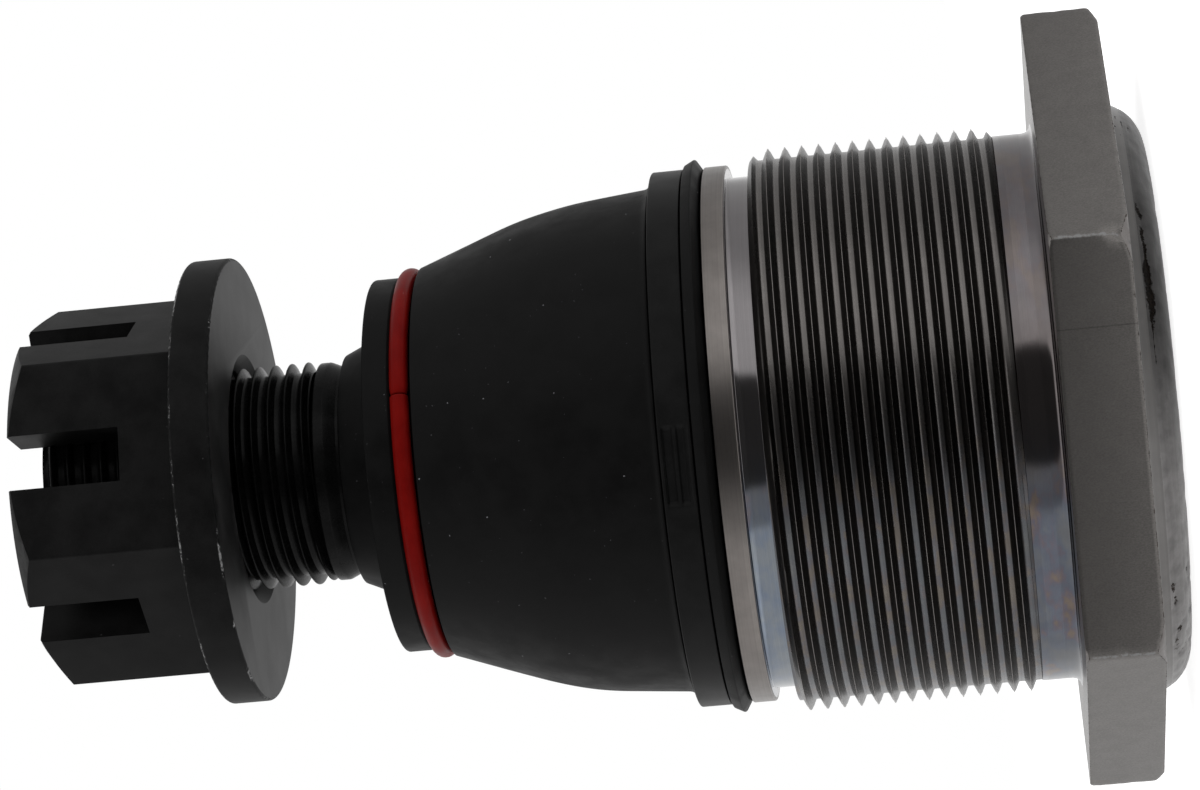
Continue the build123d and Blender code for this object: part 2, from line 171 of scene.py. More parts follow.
def meshFromBands(name, bands, materials, sharp=35):
    # grids of points, each closed round the axis; shift joins the last column to rings further up, as on a
    # helix; wear is kept as an attribute: above 0 the edge is rubbed bright, below 0 it is pitted, and along the
    # hexagon's edges the values below 0 paint a broken dark line of shade
    points, quads, slots, wearAndEdgeShade = [], [], [], []
    total = 0
    for part in bands:
        rows, columns = part["grid"].shape[:2]
        index = total + np.arange(rows * columns).reshape(rows, columns)
        total += rows * columns
        beside = np.roll(index, -1, axis=1)
        beside[:, -1] = index[np.clip(np.arange(rows) + part["shift"], 0, rows - 1), 0]
        quads.append(np.stack([index[:-1], beside[:-1], beside[1:], index[1:]], axis=-1).reshape(-1, 4))
        points.append(part["grid"].reshape(-1, 3))
        slots.append(np.full(len(quads[-1]), part["slot"]))
        wearAndEdgeShade.append(np.broadcast_to(part["wearAndEdgeShade"], (rows, columns)).ravel())
    mesh = bpy.data.meshes.new(name)
    mesh.from_pydata(np.concatenate(points) * mm, [], np.concatenate(quads).tolist())
    mesh.polygons.foreach_set("material_index", np.concatenate(slots).astype(np.int32))
    worn = mesh.attributes.new("wearAndEdgeShade", "FLOAT", "POINT")
    worn.data.foreach_set("value", np.concatenate(wearAndEdgeShade).astype(np.float32))
    return finishMesh(name, mesh, materials, sharp)


def newObject(name, data):
    made = bpy.data.objects.new(name, data)
    bpy.context.scene.collection.objects.link(made)
    return made


def finishMesh(name, mesh, materials, sharp, weld=2e-6):
    # welds the seams, drops faces with no area, turns the faces outwards and marks the hard edges
    work = bmesh.new()
    work.from_mesh(mesh)
    bmesh.ops.remove_doubles(work, verts=work.verts, dist=weld)
    bmesh.ops.dissolve_degenerate(work, edges=work.edges, dist=weld / 4)
    bmesh.ops.recalc_face_normals(work, faces=work.faces)
    work.to_mesh(mesh)
    work.free()
    mesh.shade_smooth()
    mesh.set_sharp_from_angle(angle=np.radians(sharp))
    for material in materials:
        mesh.materials.append(material)
    return newObject(name, mesh)


def weldedCopy(node, name, materials, sharp=35):
    # a CAD node's triangles as one welded mesh, with its flats made single faces
    source = frame["nodes"][node].data
    points = np.zeros(len(source.vertices) * 3)
    source.vertices.foreach_get("co", points)
    faces = [tuple(face.vertices) for face in source.polygons]
    mesh = bpy.data.meshes.new(name)
    mesh.from_pydata(points.reshape(-1, 3), [], faces)
    work = bmesh.new()
    work.from_mesh(mesh)
    bmesh.ops.remove_doubles(work, verts=work.verts, dist=1e-6)
    bmesh.ops.dissolve_limit(work, angle_limit=np.radians(0.6), verts=work.verts, edges=work.edges)
    work.to_mesh(mesh)
    work.free()
    return finishMesh(name, mesh, materials, sharp)


def fill(tree, made, inputs):
    for key, value in inputs.items():
        if isinstance(value, bpy.types.NodeSocket):
            tree.links.new(value, made.inputs[key])
        else:
            made.inputs[key].default_value = value


def put(tree, kind, settings=None, inputs=None, output=0):
    # adds a node, sets its properties, fills or links its inputs and gives back one output
    made = tree.nodes.new(kind)
    for key, value in (settings or {}).items():
        setattr(made, key, value)
    fill(tree, made, inputs or {})
    return made.outputs[output]


def calc(tree, operation, a, b=0.0, c=0.0):
    return put(tree, "ShaderNodeMath", {"operation": operation}, {0: a, 1: b, 2: c})


def times(tree, a, b):
    return calc(tree, "MULTIPLY", a, b)


def vectorMath(tree, operation, inputs, output=0):
    return put(tree, "ShaderNodeVectorMath", {"operation": operation}, inputs, output)


def remap(tree, value, low, high, outLow=0.0, outHigh=1.0):
    settings = {"clamp": True, "interpolation_type": "SMOOTHSTEP"}
    numbers = {"Value": value, "From Min": low, "From Max": high, "To Min": outLow, "To Max": outHigh}
    return put(tree, "ShaderNodeMapRange", settings, numbers)


def mixColor(tree, share, a, b, blend="MIX"):
    return put(tree, "ShaderNodeMix", {"data_type": "RGBA", "blend_type": blend}, {0: share, 6: a, 7: b}, 2)


def mixValue(tree, share, a, b):
    return put(tree, "ShaderNodeMix", {"data_type": "FLOAT"}, {0: share, 2: a, 3: b})


def noise(tree, point, scale, detail=3.0, roughness=0.55, output=0):
    inputs = {"Vector": point, "Scale": scale, "Detail": detail, "Roughness": roughness}
    return put(tree, "ShaderNodeTexNoise", {}, inputs, output)


def grey(value):
    return (value, value, value, 1.0)


def shadeOf(color, factor):
    # the same colour, lighter or darker
    return (*(np.array(color) * factor), 1.0)


scalar, colour, vector = "NodeSocketFloat", "NodeSocketColor", "NodeSocketVector"


def newGroup(name, inputs, outputs):
    # an input without a number is a vector
    tree = bpy.data.node_groups.new(name, "ShaderNodeTree")
    for label, value in inputs.items():
        kind = vector if value is None else scalar
        socket = tree.interface.new_socket(label, in_out="INPUT", socket_type=kind)
        if value is not None:
            socket.default_value = value
    for label, kind in outputs.items():
        tree.interface.new_socket(label, in_out="OUTPUT", socket_type=kind)
    return tree, tree.nodes.new("NodeGroupInput").outputs, tree.nodes.new("NodeGroupOutput")


def useGroup(tree, group, inputs=None):
    made = tree.nodes.new("ShaderNodeGroup")
    made.node_tree = group
    fill(tree, made, inputs or {})
    return made.outputs


def newMaterial(name, settings):
    material = bpy.data.materials.new(name)
    material.use_nodes = True
    tree = material.node_tree
    shader = tree.nodes["Principled BSDF"]
    fill(tree, shader, settings)
    return material, tree, shader


def bumped(tree, height, distance):
    return put(tree, "ShaderNodeBump", {}, {"Height": height, "Distance": distance * mm})


def makeRound():
    # object coordinates in millimetres, and the same as turn in degrees, radius and height
    tree, _, out = newGroup("roundTheAxis", {}, {"Point": vector, "Turn": scalar, "Radius": scalar,
                                                 "Height": scalar})
    point = vectorMath(tree, "SCALE", {0: put(tree, "ShaderNodeTexCoord", output=3), 3: 1 / mm})
    x, y, z = put(tree, "ShaderNodeSeparateXYZ", {}, {0: point}).node.outputs
    turn = calc(tree, "DEGREES", calc(tree, "ARCTAN2", y, x))
    squares = calc(tree, "MULTIPLY_ADD", x, x, times(tree, y, y))
    fill(tree, out, {"Point": point, "Turn": turn, "Radius": calc(tree, "SQRT", squares), "Height": z})
    return tree


def makeAtTurn():
    # 1 at a direction round the axis, falling to 0 at Spread degrees to both sides of it
    tree, given, out = newGroup("atTurn", {"Turn": -135.0, "Spread": 60.0}, {"Value": scalar})
    away = calc(tree, "SUBTRACT", useGroup(tree, roundTheAxis)["Turn"], given["Turn"])
    away = calc(tree, "ABSOLUTE", calc(tree, "WRAP", away, 180.0, -180.0))
    fill(tree, out, {"Value": remap(tree, away, given["Spread"], times(tree, given["Spread"], 0.5))})
    return tree


def makeTurning():
    # the fine rings that a lathe leaves: noise that changes with height and radius, hardly round the axis
    tree, given, out = newGroup("turningLines", {"Fineness": 6.0}, {"Value": scalar})
    coordinates = useGroup(tree, roundTheAxis)
    drift = noise(tree, coordinates["Point"], 0.05, 1.0)
    along = calc(tree, "MULTIPLY_ADD", coordinates["Radius"], 0.77, coordinates["Height"])
    along = calc(tree, "MULTIPLY_ADD", drift, 0.25, along)
    place = put(tree, "ShaderNodeCombineXYZ", {}, {0: along, 1: 0.0, 2: 0.0})
    fill(tree, out, {"Value": noise(tree, place, given["Fineness"], 6.0, 0.7)})
    return tree


def makeWearAndEdgeShade():
    # rubbed and pitted places, and the painted shade along the hexagon's edges: the mesh's own wear value,
    # broken up by noise
    outputs = {"Rubbed": scalar, "PitsAndEdgeShade": scalar}
    tree, given, out = newGroup("edgeWearAndShade", {"Scale": 2.0, "Limit": 0.7}, outputs)
    worn = put(tree, "ShaderNodeAttribute", {"attribute_name": "wearAndEdgeShade"}, output=2)
    broken = noise(tree, useGroup(tree, roundTheAxis)["Point"], given["Scale"], 5.0, 0.72)
    rubbed = calc(tree, "MULTIPLY_ADD", calc(tree, "MAXIMUM", worn, 0.0), 0.3, broken)
    pitsAndEdgeShade = calc(tree, "MAXIMUM", times(tree, worn, -1.0), 0.0)
    pitsAndEdgeShade = calc(tree, "MULTIPLY_ADD", pitsAndEdgeShade, 0.35, calc(tree, "SUBTRACT", 1.0, broken))
    limit = given["Limit"]
    fill(tree, out, {"Rubbed": remap(tree, rubbed, 0.72, 0.8),
                     "PitsAndEdgeShade": remap(tree, pitsAndEdgeShade, limit, calc(tree, "ADD", limit, 0.07))})
    return tree


def makeDust():
    # stray specks: the middles of scattered cells, of which only a share is kept
    tree, given, out = newGroup("dustSpecks", {"Scale": 0.7, "Size": 0.09, "Share": 0.3}, {"Mask": scalar})
    point = useGroup(tree, roundTheAxis)["Point"]
    wobble = noise(tree, point, 6.0, 2.0, output=1)
    warped = vectorMath(tree, "MULTIPLY_ADD", {0: wobble, 1: (0.25, 0.25, 0.25), 2: point})
    cells = put(tree, "ShaderNodeTexVoronoi", {}, {"Vector": warped, "Scale": given["Scale"]}).node.outputs
    chosen = put(tree, "ShaderNodeSeparateColor", {}, {0: cells["Color"]})
    kept = calc(tree, "LESS_THAN", chosen, given["Share"])
    near = remap(tree, cells["Distance"], given["Size"], times(tree, given["Size"], 0.4))
    fill(tree, out, {"Mask": times(tree, kept, near)})
    return tree


def makeTint():
    # heat colours on steel, straw to violet to pale blue, in blotches; Shift moves them along that row
    tree, given, out = newGroup("heatTint", {"Scale": 0.3, "Shift": 0.0}, {"Color": colour})
    place = vectorMath(tree, "MULTIPLY", {0: useGroup(tree, roundTheAxis)["Point"], 1: (1.0, 1.0, 2.0)})
    stage = noise(tree, place, given["Scale"], 5.0, 0.62)
    ramp = tree.nodes.new("ShaderNodeValToRGB")
    colors = [(0.28, (1.0, 0.93, 0.80, 1)), (0.36, (0.95, 0.84, 0.68, 1)), (0.42, (0.70, 0.70, 0.86, 1)),
              (0.48, (0.60, 0.78, 1.0, 1)), (0.62, (0.78, 0.92, 1.0, 1))]
    for index, (place, value) in enumerate(colors):
        stop = ramp.color_ramp.elements[index] if index < 2 else ramp.color_ramp.elements.new(place)
        stop.position, stop.color = place, value
    fill(tree, ramp, {0: calc(tree, "ADD", stage, given["Shift"])})
    fill(tree, out, {"Color": ramp.outputs[0]})
    return tree


def makeStudioLevel():
    # how bright metal finds the studio: white all round, with a dark opening on the viewer's side, a half-lit
    # strip below it and dimmer walls behind the upper side
    tree, given, out = newGroup("studioLevel", {"Direction": None}, {"Level": scalar})
    x, y, z = put(tree, "ShaderNodeSeparateXYZ", {}, {0: given["Direction"]}).node.outputs
    side = calc(tree, "DEGREES", calc(tree, "ARCTAN2", x, times(tree, y, -1.0)))
    rise = calc(tree, "DEGREES", calc(tree, "ARCSINE", calc(tree, "ABSOLUTE", z)))
    opening = times(tree, remap(tree, side, -25.5, -22.5), remap(tree, side, 27.5, 24.5))
    strip = times(tree, remap(tree, side, -43.5, -40.5), remap(tree, side, -22.5, -25.5))
    wall = times(tree, remap(tree, side, 55.0, 92.0), remap(tree, side, 176.0, 150.0))
    under = times(tree, remap(tree, side, -40.5, -43.5), 0.14)
    dark = calc(tree, "MULTIPLY_ADD", opening, 0.945, calc(tree, "MULTIPLY_ADD", strip, 0.55, under))
    dark = times(tree, dark, remap(tree, rise, 62.0, 50.0))
    fill(tree, out, {"Level": calc(tree, "SUBTRACT", 1.0, calc(tree, "MULTIPLY_ADD", wall, 0.44, dark))})
    return tree


roundTheAxis = makeRound()
atTurn = makeAtTurn()
turningLines = makeTurning()
edgeWearAndShade = makeWearAndEdgeShade()
dustSpecks = makeDust()
heatTint = makeTint()
studioLevel = makeStudioLevel()
print("shared effects made")

steelBase = {"grain": "turned", "fineness": 6.0, "swing": 0.15, "blotchScale": 0.5, "blotch": 0.4, "heat": [],
             "heatScale": 0.16, "ridge": None, "flank": 1.0, "crest": 1.0, "wearScale": 2.0, "worn": 0.22,
             "pitAndShadeLimit": 0.8, "pitDepth": 3.0, "paintedShadeAndDarkLine": [], "depth": 0.003}


def makeSteel(name, finish):
    # bare steel: grain and blotches, heat colours round one direction, black pits and rubbed edges; painted shade
    # on one side round the axis, and on a thread painted shade on the flanks and a painted highlight on the crests
    material, tree, shader = newMaterial(name, {"Metallic": 1.0})
    finish = {**steelBase, **finish}
    coordinates = useGroup(tree, roundTheAxis)
    point, radius = coordinates["Point"], coordinates["Radius"]
    if finish["grain"] == "turned":
        lines = useGroup(tree, turningLines, {"Fineness": finish["fineness"]})[0]
    else:
        stretch = Vector((1, 1, 0.5)) * finish["fineness"]
        lines = noise(tree, vectorMath(tree, "MULTIPLY", {0: point, 1: stretch}), 1.0, 4.0, 0.7)
    shade = mixValue(tree, finish["blotch"], lines, noise(tree, point, finish["blotchScale"], 4.0, 0.6))
    base, swing = finish["color"], finish["swing"]
    color = mixColor(tree, remap(tree, shade, 0.3, 0.7), shadeOf(base, 1 - swing), shadeOf(base, 1 + swing))
    for turn, spread, amount, shift in finish["heat"]:
        tint = useGroup(tree, heatTint, {"Scale": finish["heatScale"], "Shift": shift})[0]
        here = useGroup(tree, atTurn, {"Turn": turn, "Spread": spread})[0]
        color = mixColor(tree, times(tree, here, amount), color, mixColor(tree, 1.0, color, tint, "MULTIPLY"))
    if finish["ridge"]:
        # painted shade darkens the flanks between the root and the crest, and a painted highlight brightens the
        # crest itself
        root, crest = finish["ridge"]
        lift = times(tree, remap(tree, radius, root + 0.03, root + 0.12),
                     remap(tree, radius, crest - 0.03, crest - 0.08))
        color = mixColor(tree, lift, color, shadeOf(base, finish["flank"]))
        color = mixColor(tree, remap(tree, radius, crest - 0.07, crest - 0.03), color,
                         shadeOf(base, finish["crest"]))
    worn = useGroup(tree, edgeWearAndShade, {"Scale": finish["wearScale"], "Limit": finish["pitAndShadeLimit"]})
    color = mixColor(tree, worn["Rubbed"], color, grey(finish["worn"]))
    inside = remap(tree, noise(tree, point, 5.0, 4.0, 0.8), 0.42, 0.6)
    inside = mixColor(tree, inside, (0.012, 0.010, 0.009, 1), (0.062, 0.047, 0.038, 1))
    # the pit colour also paints the broken dark line of shade along the hexagon's edges
    color = mixColor(tree, worn["PitsAndEdgeShade"], color, inside)
    # painted shade: each (turn, width, factor) darkens the colour on one side round the axis, where less light
    # falls; the hexagon side's entry paints one thin dark line
    for turn, width, factor in finish["paintedShadeAndDarkLine"]:
        line = useGroup(tree, atTurn, {"Turn": turn, "Spread": width})[0]
        color = mixColor(tree, line, color, mixColor(tree, 1.0, color, grey(factor), "MULTIPLY"))
    rough = remap(tree, shade, 0.25, 0.75, *finish["rough"][::-1])
    rough = mixValue(tree, worn["PitsAndEdgeShade"], rough, 0.6)
    relief = calc(tree, "SUBTRACT", lines, times(tree, worn["PitsAndEdgeShade"], finish["pitDepth"]))
    normal = bumped(tree, relief, finish["depth"])
    fill(tree, shader, {"Base Color": color, "Roughness": rough, "Normal": normal})
    return material


def makeRubber(name, finish):
    # matt rubber: cloudy tone, a fine moulded skin and stray dust
    settings = {"Specular IOR Level": finish["gloss"], "IOR": 1.5, "Specular Tint": finish["edge"]}
    material, tree, shader = newMaterial(name, settings)
    point = useGroup(tree, roundTheAxis)["Point"]
    cloud = noise(tree, point, 0.35, 4.0, 0.6)
    color = mixColor(tree, remap(tree, cloud, 0.3, 0.7), finish["dark"], finish["light"])
    dust = useGroup(tree, dustSpecks, {"Scale": 0.8, "Size": 0.07, "Share": 0.14})[0]
    fine = useGroup(tree, dustSpecks, {"Scale": 2.2, "Size": 0.1, "Share": 0.12})[0]
    dust = times(tree, calc(tree, "MAXIMUM", dust, times(tree, fine, 0.5)), finish["dust"])
    color = mixColor(tree, dust, color, (0.30, 0.30, 0.32, 1))
    rough = remap(tree, cloud, 0.3, 0.7, *finish["rough"])
    normal = bumped(tree, noise(tree, point, 9.0, 4.0, 0.65), finish["depth"])
    fill(tree, shader, {"Base Color": color, "Roughness": rough, "Normal": normal})
    return material


blackBase = {"metallic": 0.15, "edge": 0.4, "gloss": 0.1, "dark": 0.005, "light": 0.009, "worn": 0.2,
             "rough": (0.34, 0.46), "depth": 0.004, "specks": 0.0, "turned": False, "rubbed": []}


def makeBlack(name, finish):
    # blackened steel: fine grain, slightly patchy, with a broken bright line where a rim is rubbed
    finish = {**blackBase, **finish}
    material, tree, shader = newMaterial(name, {
        "Metallic": finish["metallic"], "Specular Tint": grey(finish["edge"]),
        "Specular IOR Level": finish["gloss"]})
    coordinates = useGroup(tree, roundTheAxis)
    point = coordinates["Point"]
    grain = noise(tree, point, 7.0, 5.0, 0.8)
    if finish["turned"]:
        grain = mixValue(tree, 0.6, grain, useGroup(tree, turningLines, {"Fineness": 9.0})[0])
    shade = mixValue(tree, 0.45, noise(tree, point, 0.3, 5.0, 0.6), grain)
    color = mixColor(tree, remap(tree, shade, 0.35, 0.65), grey(finish["dark"]), grey(finish["light"]))
    specks = useGroup(tree, dustSpecks, {"Scale": 1.3, "Size": 0.08, "Share": 0.08})[0]
    worn = times(tree, specks, finish["specks"])
    dashes = mixValue(tree, 0.45, noise(tree, point, 2.2, 5.0, 0.85), noise(tree, point, 0.22, 2.0))
    for height, radius, width, limit in finish["rubbed"]:
        offHeight = calc(tree, "SUBTRACT", coordinates["Height"], height)
        offRadius = calc(tree, "SUBTRACT", coordinates["Radius"], radius)
        squares = calc(tree, "MULTIPLY_ADD", offHeight, offHeight, times(tree, offRadius, offRadius))
        near = remap(tree, calc(tree, "SQRT", squares), width, width * 0.4)
        line = times(tree, near, remap(tree, dashes, limit, limit + 0.06))
        worn = calc(tree, "MAXIMUM", worn, line)
    color = mixColor(tree, worn, color, grey(finish["worn"]))
    rough = remap(tree, shade, 0.3, 0.7, *finish["rough"])
    normal = bumped(tree, grain, finish["depth"])
    fill(tree, shader, {"Base Color": color, "Roughness": rough, "Normal": normal})
    return material


# each finish's list of (turn, width, factor) paints shade on the rims and the groove on the side round -30 to -40
# degrees, where less light falls; the hexagon side's entry is one thin dark line
housingFinishes = {
    "rolledRim": {
        "fineness": 1.6, "color": (0.24, 0.233, 0.231), "swing": 0.3, "blotchScale": 0.8, "blotch": 0.45,
        "wearScale": 2.4, "pitAndShadeLimit": 0.7, "rough": (0.24, 0.38), "depth": 0.012, "paintedShadeAndDarkLine": [(-32, 84, 0.28)]},
    "hexagonEnd": {"color": (0.17, 0.16, 0.155), "rough": (0.24, 0.34), "pitAndShadeLimit": 0.76},
    "hexagonSide": {
        "grain": "drawn", "fineness": 11.0, "color": (0.145, 0.137, 0.131), "swing": 0.22, "blotch": 0.2,
        "rough": (0.34, 0.44), "pitAndShadeLimit": 0.71, "depth": 0.004, "worn": 0.2, "paintedShadeAndDarkLine": [(-78.95, 0.14, 0.7)]},
    "plainNeck": {
        "fineness": 9.0, "color": (0.165, 0.147, 0.146), "swing": 0.1, "blotch": 0.6, "rough": (0.10, 0.16),
        "depth": 0.0012, "heatScale": 0.22, "heat": [(-140.0, 52.0, 0.9, 0.02), (-40.0, 40.0, 0.25, -0.05)]},
    "housingThread": {
        "fineness": 5.0, "color": (0.14, 0.131, 0.126), "rough": (0.24, 0.32), "heatScale": 0.3,
        # painted shade on the thread's flanks and a painted highlight on its crests
        "heat": [(-140.0, 60.0, 0.5, -0.06)], "ridge": (24.05, 25.0), "flank": 0.36, "crest": 2.0},
    "polishedGroove": {
        "fineness": 8.0, "color": (0.27, 0.255, 0.26), "rough": (0.10, 0.15), "blotch": 0.2, "depth": 0.0012,
        "heat": [(-140.0, 52.0, 0.9, 0.08)], "paintedShadeAndDarkLine": [(-30.0, 110.0, 0.8)]},
    "collar": {"fineness": 7.0, "color": (0.20, 0.183, 0.173), "rough": (0.28, 0.36)},
    "turnedRim": {
        "fineness": 2.5, "color": (0.205, 0.199, 0.195), "swing": 0.12, "pitAndShadeLimit": 0.78, "rough": (0.26, 0.34),
        "paintedShadeAndDarkLine": [(-40.0, 78.0, 0.6)]},
}
housingSteels = [makeSteel(name, finish) for name, finish in housingFinishes.items()]
bootRubber = makeRubber("bootRubber", {
    "dark": grey(0.003), "light": grey(0.0045), "gloss": 0.075, "dust": 0.6, "rough": (0.44, 0.56),
    "depth": 0.008, "edge": grey(1.0)})
ringRed = makeRubber("redRing", {
    "dark": (0.10, 0.0016, 0.0012, 1), "light": (0.13, 0.003, 0.002, 1), "gloss": 0.08, "dust": 0.3,
    "rough": (0.34, 0.46), "depth": 0.006, "edge": (0.7, 0.4, 0.4, 1)})
nutBlack = makeBlack("castleNut", {
    "edge": 0.45, "dark": 0.004, "worn": 0.24, "rough": (0.42, 0.54), "depth": 0.010, "specks": 0.25,
    "rubbed": [(85.2, 20.0, 0.22, 0.5), (81.75, 19.9, 0.2, 0.54)]})
nutFaceBlack = makeBlack("nutBearingFace", {
    "metallic": 1.0, "edge": 0.6, "gloss": 0.5, "dark": 0.075, "light": 0.14, "worn": 0.3,
    "rough": (0.42, 0.5), "depth": 0.002, "turned": True})
studBlack = makeBlack("ballStud", {
    "metallic": 0.6, "gloss": 0.2, "dark": 0.003, "light": 0.008, "rough": (0.2, 0.32), "specks": 0.1})
bandBlack = makeBlack("clampBand", {"metallic": 0.0, "specks": 0.4})
print("materials made")

housing = {
    "flat": 30.0, "turn": -7.0, "cornerRounding": 0.4, "softEdge": 0.1, "columns": 288,
    "chamferStart": 33.49, "chamferSlope": 0.652, "seatBevelStart": 34.34,
    "rimProud": 3.0, "rimRadius": 26.0, "rimEndRadius": 22.2, "openingRadius": 18.0, "openingBevel": 1.2,
    "rolledTo": 1.85, "foldThickness": 2.95, "reliefRadius": 24.15, "reliefTop": 13.0, "reliefFillet": 0.75,
    "grooveRadius": 22.75, "grooveFoot": 34.4, "collarFoot": 36.5, "collarRadius": 23.9, "collarTop": 38.5,
    "spigotRadius": 21.4, "mouthRadius": 19.3, "boreRadius": 19.5, "mouthAngle": 59.0, "ledge": 5.2,
    "pocketRadius": 21.55, "hammered": [(-142, 26, 1.0), (75, 30, 0.4), (160, 20, 0.2)],  # turn, width, share
    "notch": {"turn": -67, "above": 0.9, "size": 0.7, "depth": 0.5},
    "thread": {"start": 13.0, "end": 34.4, "pitch": 1.5, "shift": -0.5, "startSlope": 1.3, "endSlope": 1.3,
               "ridge": [(0.20, 24.05), (0.28, 24.10), (0.58, 24.74), (0.69, 24.86), (0.735, 25.0),
                         (0.765, 25.0), (0.81, 24.86), (0.92, 24.74), (1.22, 24.10), (1.30, 24.05)]},
    # turn, height, width in degrees, height of the mark, strength
    "gouges": [(-20, 2.4, 1.6, 0.12, 1.2), (-23, 2.0, 2.0, 0.1, 1.3), (-25.5, 2.6, 1.7, 0.12, 1.3),
               (-24, 1.4, 1.6, 0.08, 1.2), (-29, 2.2, 1.5, 0.1, 1.0), (-51.2, 1.8, 1.3, 0.16, 1.0),
               (-53, 1.55, 1.5, 0.22, 1.3), (-57.6, 1.6, 2.0, 0.26, 1.1), (-60.6, 1.45, 1.3, 0.14, 1.1),
               (-63, 1.5, 1.8, 0.14, 1.1), (-65.8, 1.6, 1.7, 0.4, 1.3), (-69.4, 1.5, 3.2, 0.3, 1.4),
               (-72.8, 1.4, 2.2, 0.38, 0.95), (-76, 1.6, 1.8, 0.26, 0.8), (-81, 1.55, 4.0, 0.07, 0.9),
               (-129, 1.7, 1.2, 0.25, 0.9), (-133, 1.5, 2.0, 0.2, 0.7), (-142, 1.15, 1.0, 0.3, 1.1),
               (-148, 1.6, 3.0, 0.4, 0.6)],
}
around = hexAngles(housing["flat"], housing["turn"], housing["cornerRounding"], housing["columns"])


def pushedIn(grid, depth):
    # each point moves in along the surface's normal: the cross product of its neighbours' differences
    across = np.roll(grid, -1, axis=1) - np.roll(grid, 1, axis=1)
    along = np.gradient(grid, axis=0)
    normal = np.cross(across, along)
    normal /= np.maximum(np.linalg.norm(normal, axis=-1, keepdims=True), 1e-9)
    return grid - normal * depth[..., None]


def profileBand(outline, angles):
    # an outline of (radius, height) points turned about the axis
    return rings(outline[:, 0, None], outline[:, 1, None], angles)


def rimBands(part, angles):
    # inside the fold, out over its flat end, then the arc r = end + c sin t, z = c (1 - cos t) up to the
    # hexagon; hammered hollows are pushed in on the rolled part, and a fine groove ends it
    width, rise = part["rimRadius"] - part["rimEndRadius"], part["rimProud"]
    arcRadius = (width**2 + rise**2) / (2 * rise)
    turn = np.linspace(0, np.arcsin(width / arcRadius), 34)
    arc = np.stack([part["rimEndRadius"] + arcRadius * np.sin(turn), arcRadius * (1 - np.cos(turn))], axis=-1)
    opening, bevel = part["openingRadius"], part["openingBevel"]
    inner = [(opening, part["foldThickness"], 0), (opening, bevel, 0.3), (opening + bevel, 0, 0.4),
             (part["rimEndRadius"], 0, 0)]
    outline = np.concatenate([divided(roundedOutline(inner), 0.6)[:-1], arc])
    grid = profileBand(outline, angles)
    coarse = np.clip(waves(grid, 3.2, 11) - 0.2, 0, None)
    fine = np.clip(waves(grid, 1.1, 12), 0, None)
    height, radius = outline[:, 1, None], outline[:, 0, None]
    hammered = sum(share * bump(turnFrom(angles, middle), wide) for middle, wide, share in part["hammered"])
    rolled = np.clip((part["rolledTo"] - height) / 0.3, 0, 1)
    rolled = rolled * np.clip((radius - opening - 1.5) / 3, 0, 1)
    gouged = sum(strength * bump(turnFrom(angles, middle), wide) * bump(height - level, tall)
                 for middle, level, wide, tall, strength in part["gouges"])
    depth = rolled * (0.035 * coarse + (0.012 + 0.10 * hammered) * fine + 0.12 * np.clip(gouged, 0, 1))
    depth = depth + 0.03 * bump(height - part["rolledTo"], 0.09) * (radius > part["rimEndRadius"] + 1)
    wearAndEdgeShade = -np.clip(gouged + 0.35 * hammered * fine * rolled, 0, 1.3)
    grid = pushedIn(grid, depth)
    split = int(np.searchsorted(outline[-34:, 1], part["rolledTo"])) + len(outline) - 34
    return [band(grid[:split + 1], 0, wearAndEdgeShade[:split + 1]), band(grid[split:], 7, wearAndEdgeShade[split:])]


def hexagonBands(part, angles):
    # radius = the hexagon's reach along each angle, cut by a cone at each end; the edges carry a small round
    reach = hexRadius(angles, part["flat"], part["turn"], part["cornerRounding"])
    soft, low, high = part["softEdge"], part["rimProud"], seatHeight
    chamferStart, bevelStart, inset = part["chamferStart"], part["seatBevelStart"], 0.29 * soft
    edge = reach - soft
    foot, footEdge = (low + part["chamferSlope"] * np.maximum(r - chamferStart, 0) for r in (reach, edge))
    top, topEdge = (high - np.maximum(r - bevelStart, 0) for r in (reach, edge))
    corner = bump((np.degrees(angles) - part["turn"] + 30) % 60 - 30, 0.35)
    # painted shade: the edge rows carry negative wear, which paints a broken dark line of shade along the
    # hexagon's edges
    lowerEdge = (reach - inset, foot + inset, -0.8)
    upperEdge = (reach - inset, top - inset, -0.75)
    under = [(part["rimRadius"], low, 0), (part["rimRadius"] + 1.2, low, 0),
             (np.minimum(reach - 1.2, chamferStart - 1.2), low, 0),
             (np.minimum(reach - 0.5, chamferStart - 0.3), low, 0),
             (np.minimum(edge, chamferStart), low, 0), (edge, footEdge, -0.3), lowerEdge]
    share = np.concatenate([[0, 0.04], np.linspace(0.1, 0.9, 9), [0.96, 1]])
    tall = top - foot - 2 * soft
    side = [(reach, foot + soft + tall * t, -0.25 if t in (0, 1) else corner) for t in share]
    side = [lowerEdge, *side, upperEdge]
    reliefFoot = part["reliefRadius"] + part["reliefFillet"]
    over = [upperEdge, (edge, topEdge, 0), (np.minimum(edge, bevelStart), high, 0), (reach - 0.6, high, 0),
            (reliefFoot + 2, high, 0), (reliefFoot, high, 0)]
    notch = part["notch"]
    made = []
    for rows, slot in ((under, 1), (side, 2), (over, 1)):
        grid = rings([row[0] for row in rows], [row[1] for row in rows], angles)
        wearAndEdgeShade = np.stack([np.broadcast_to(row[2], angles.shape) for row in rows])
        radius = np.linalg.norm(grid[..., :2], axis=-1)
        ragged = np.abs(waves(grid, 1.2, 21))
        nick = notch["depth"] * bump(turnFrom(angles, notch["turn"]), notch["size"])
        nick = nick * bump(grid[..., 2] - low - notch["above"], notch["size"])
        depth = (corner * (0.02 + 0.05 * ragged) + nick) * (radius > reach - 0.3)
        grid[..., :2] *= (1 - depth / radius)[..., None]
        made.append(band(grid, slot, wearAndEdgeShade))
    return made


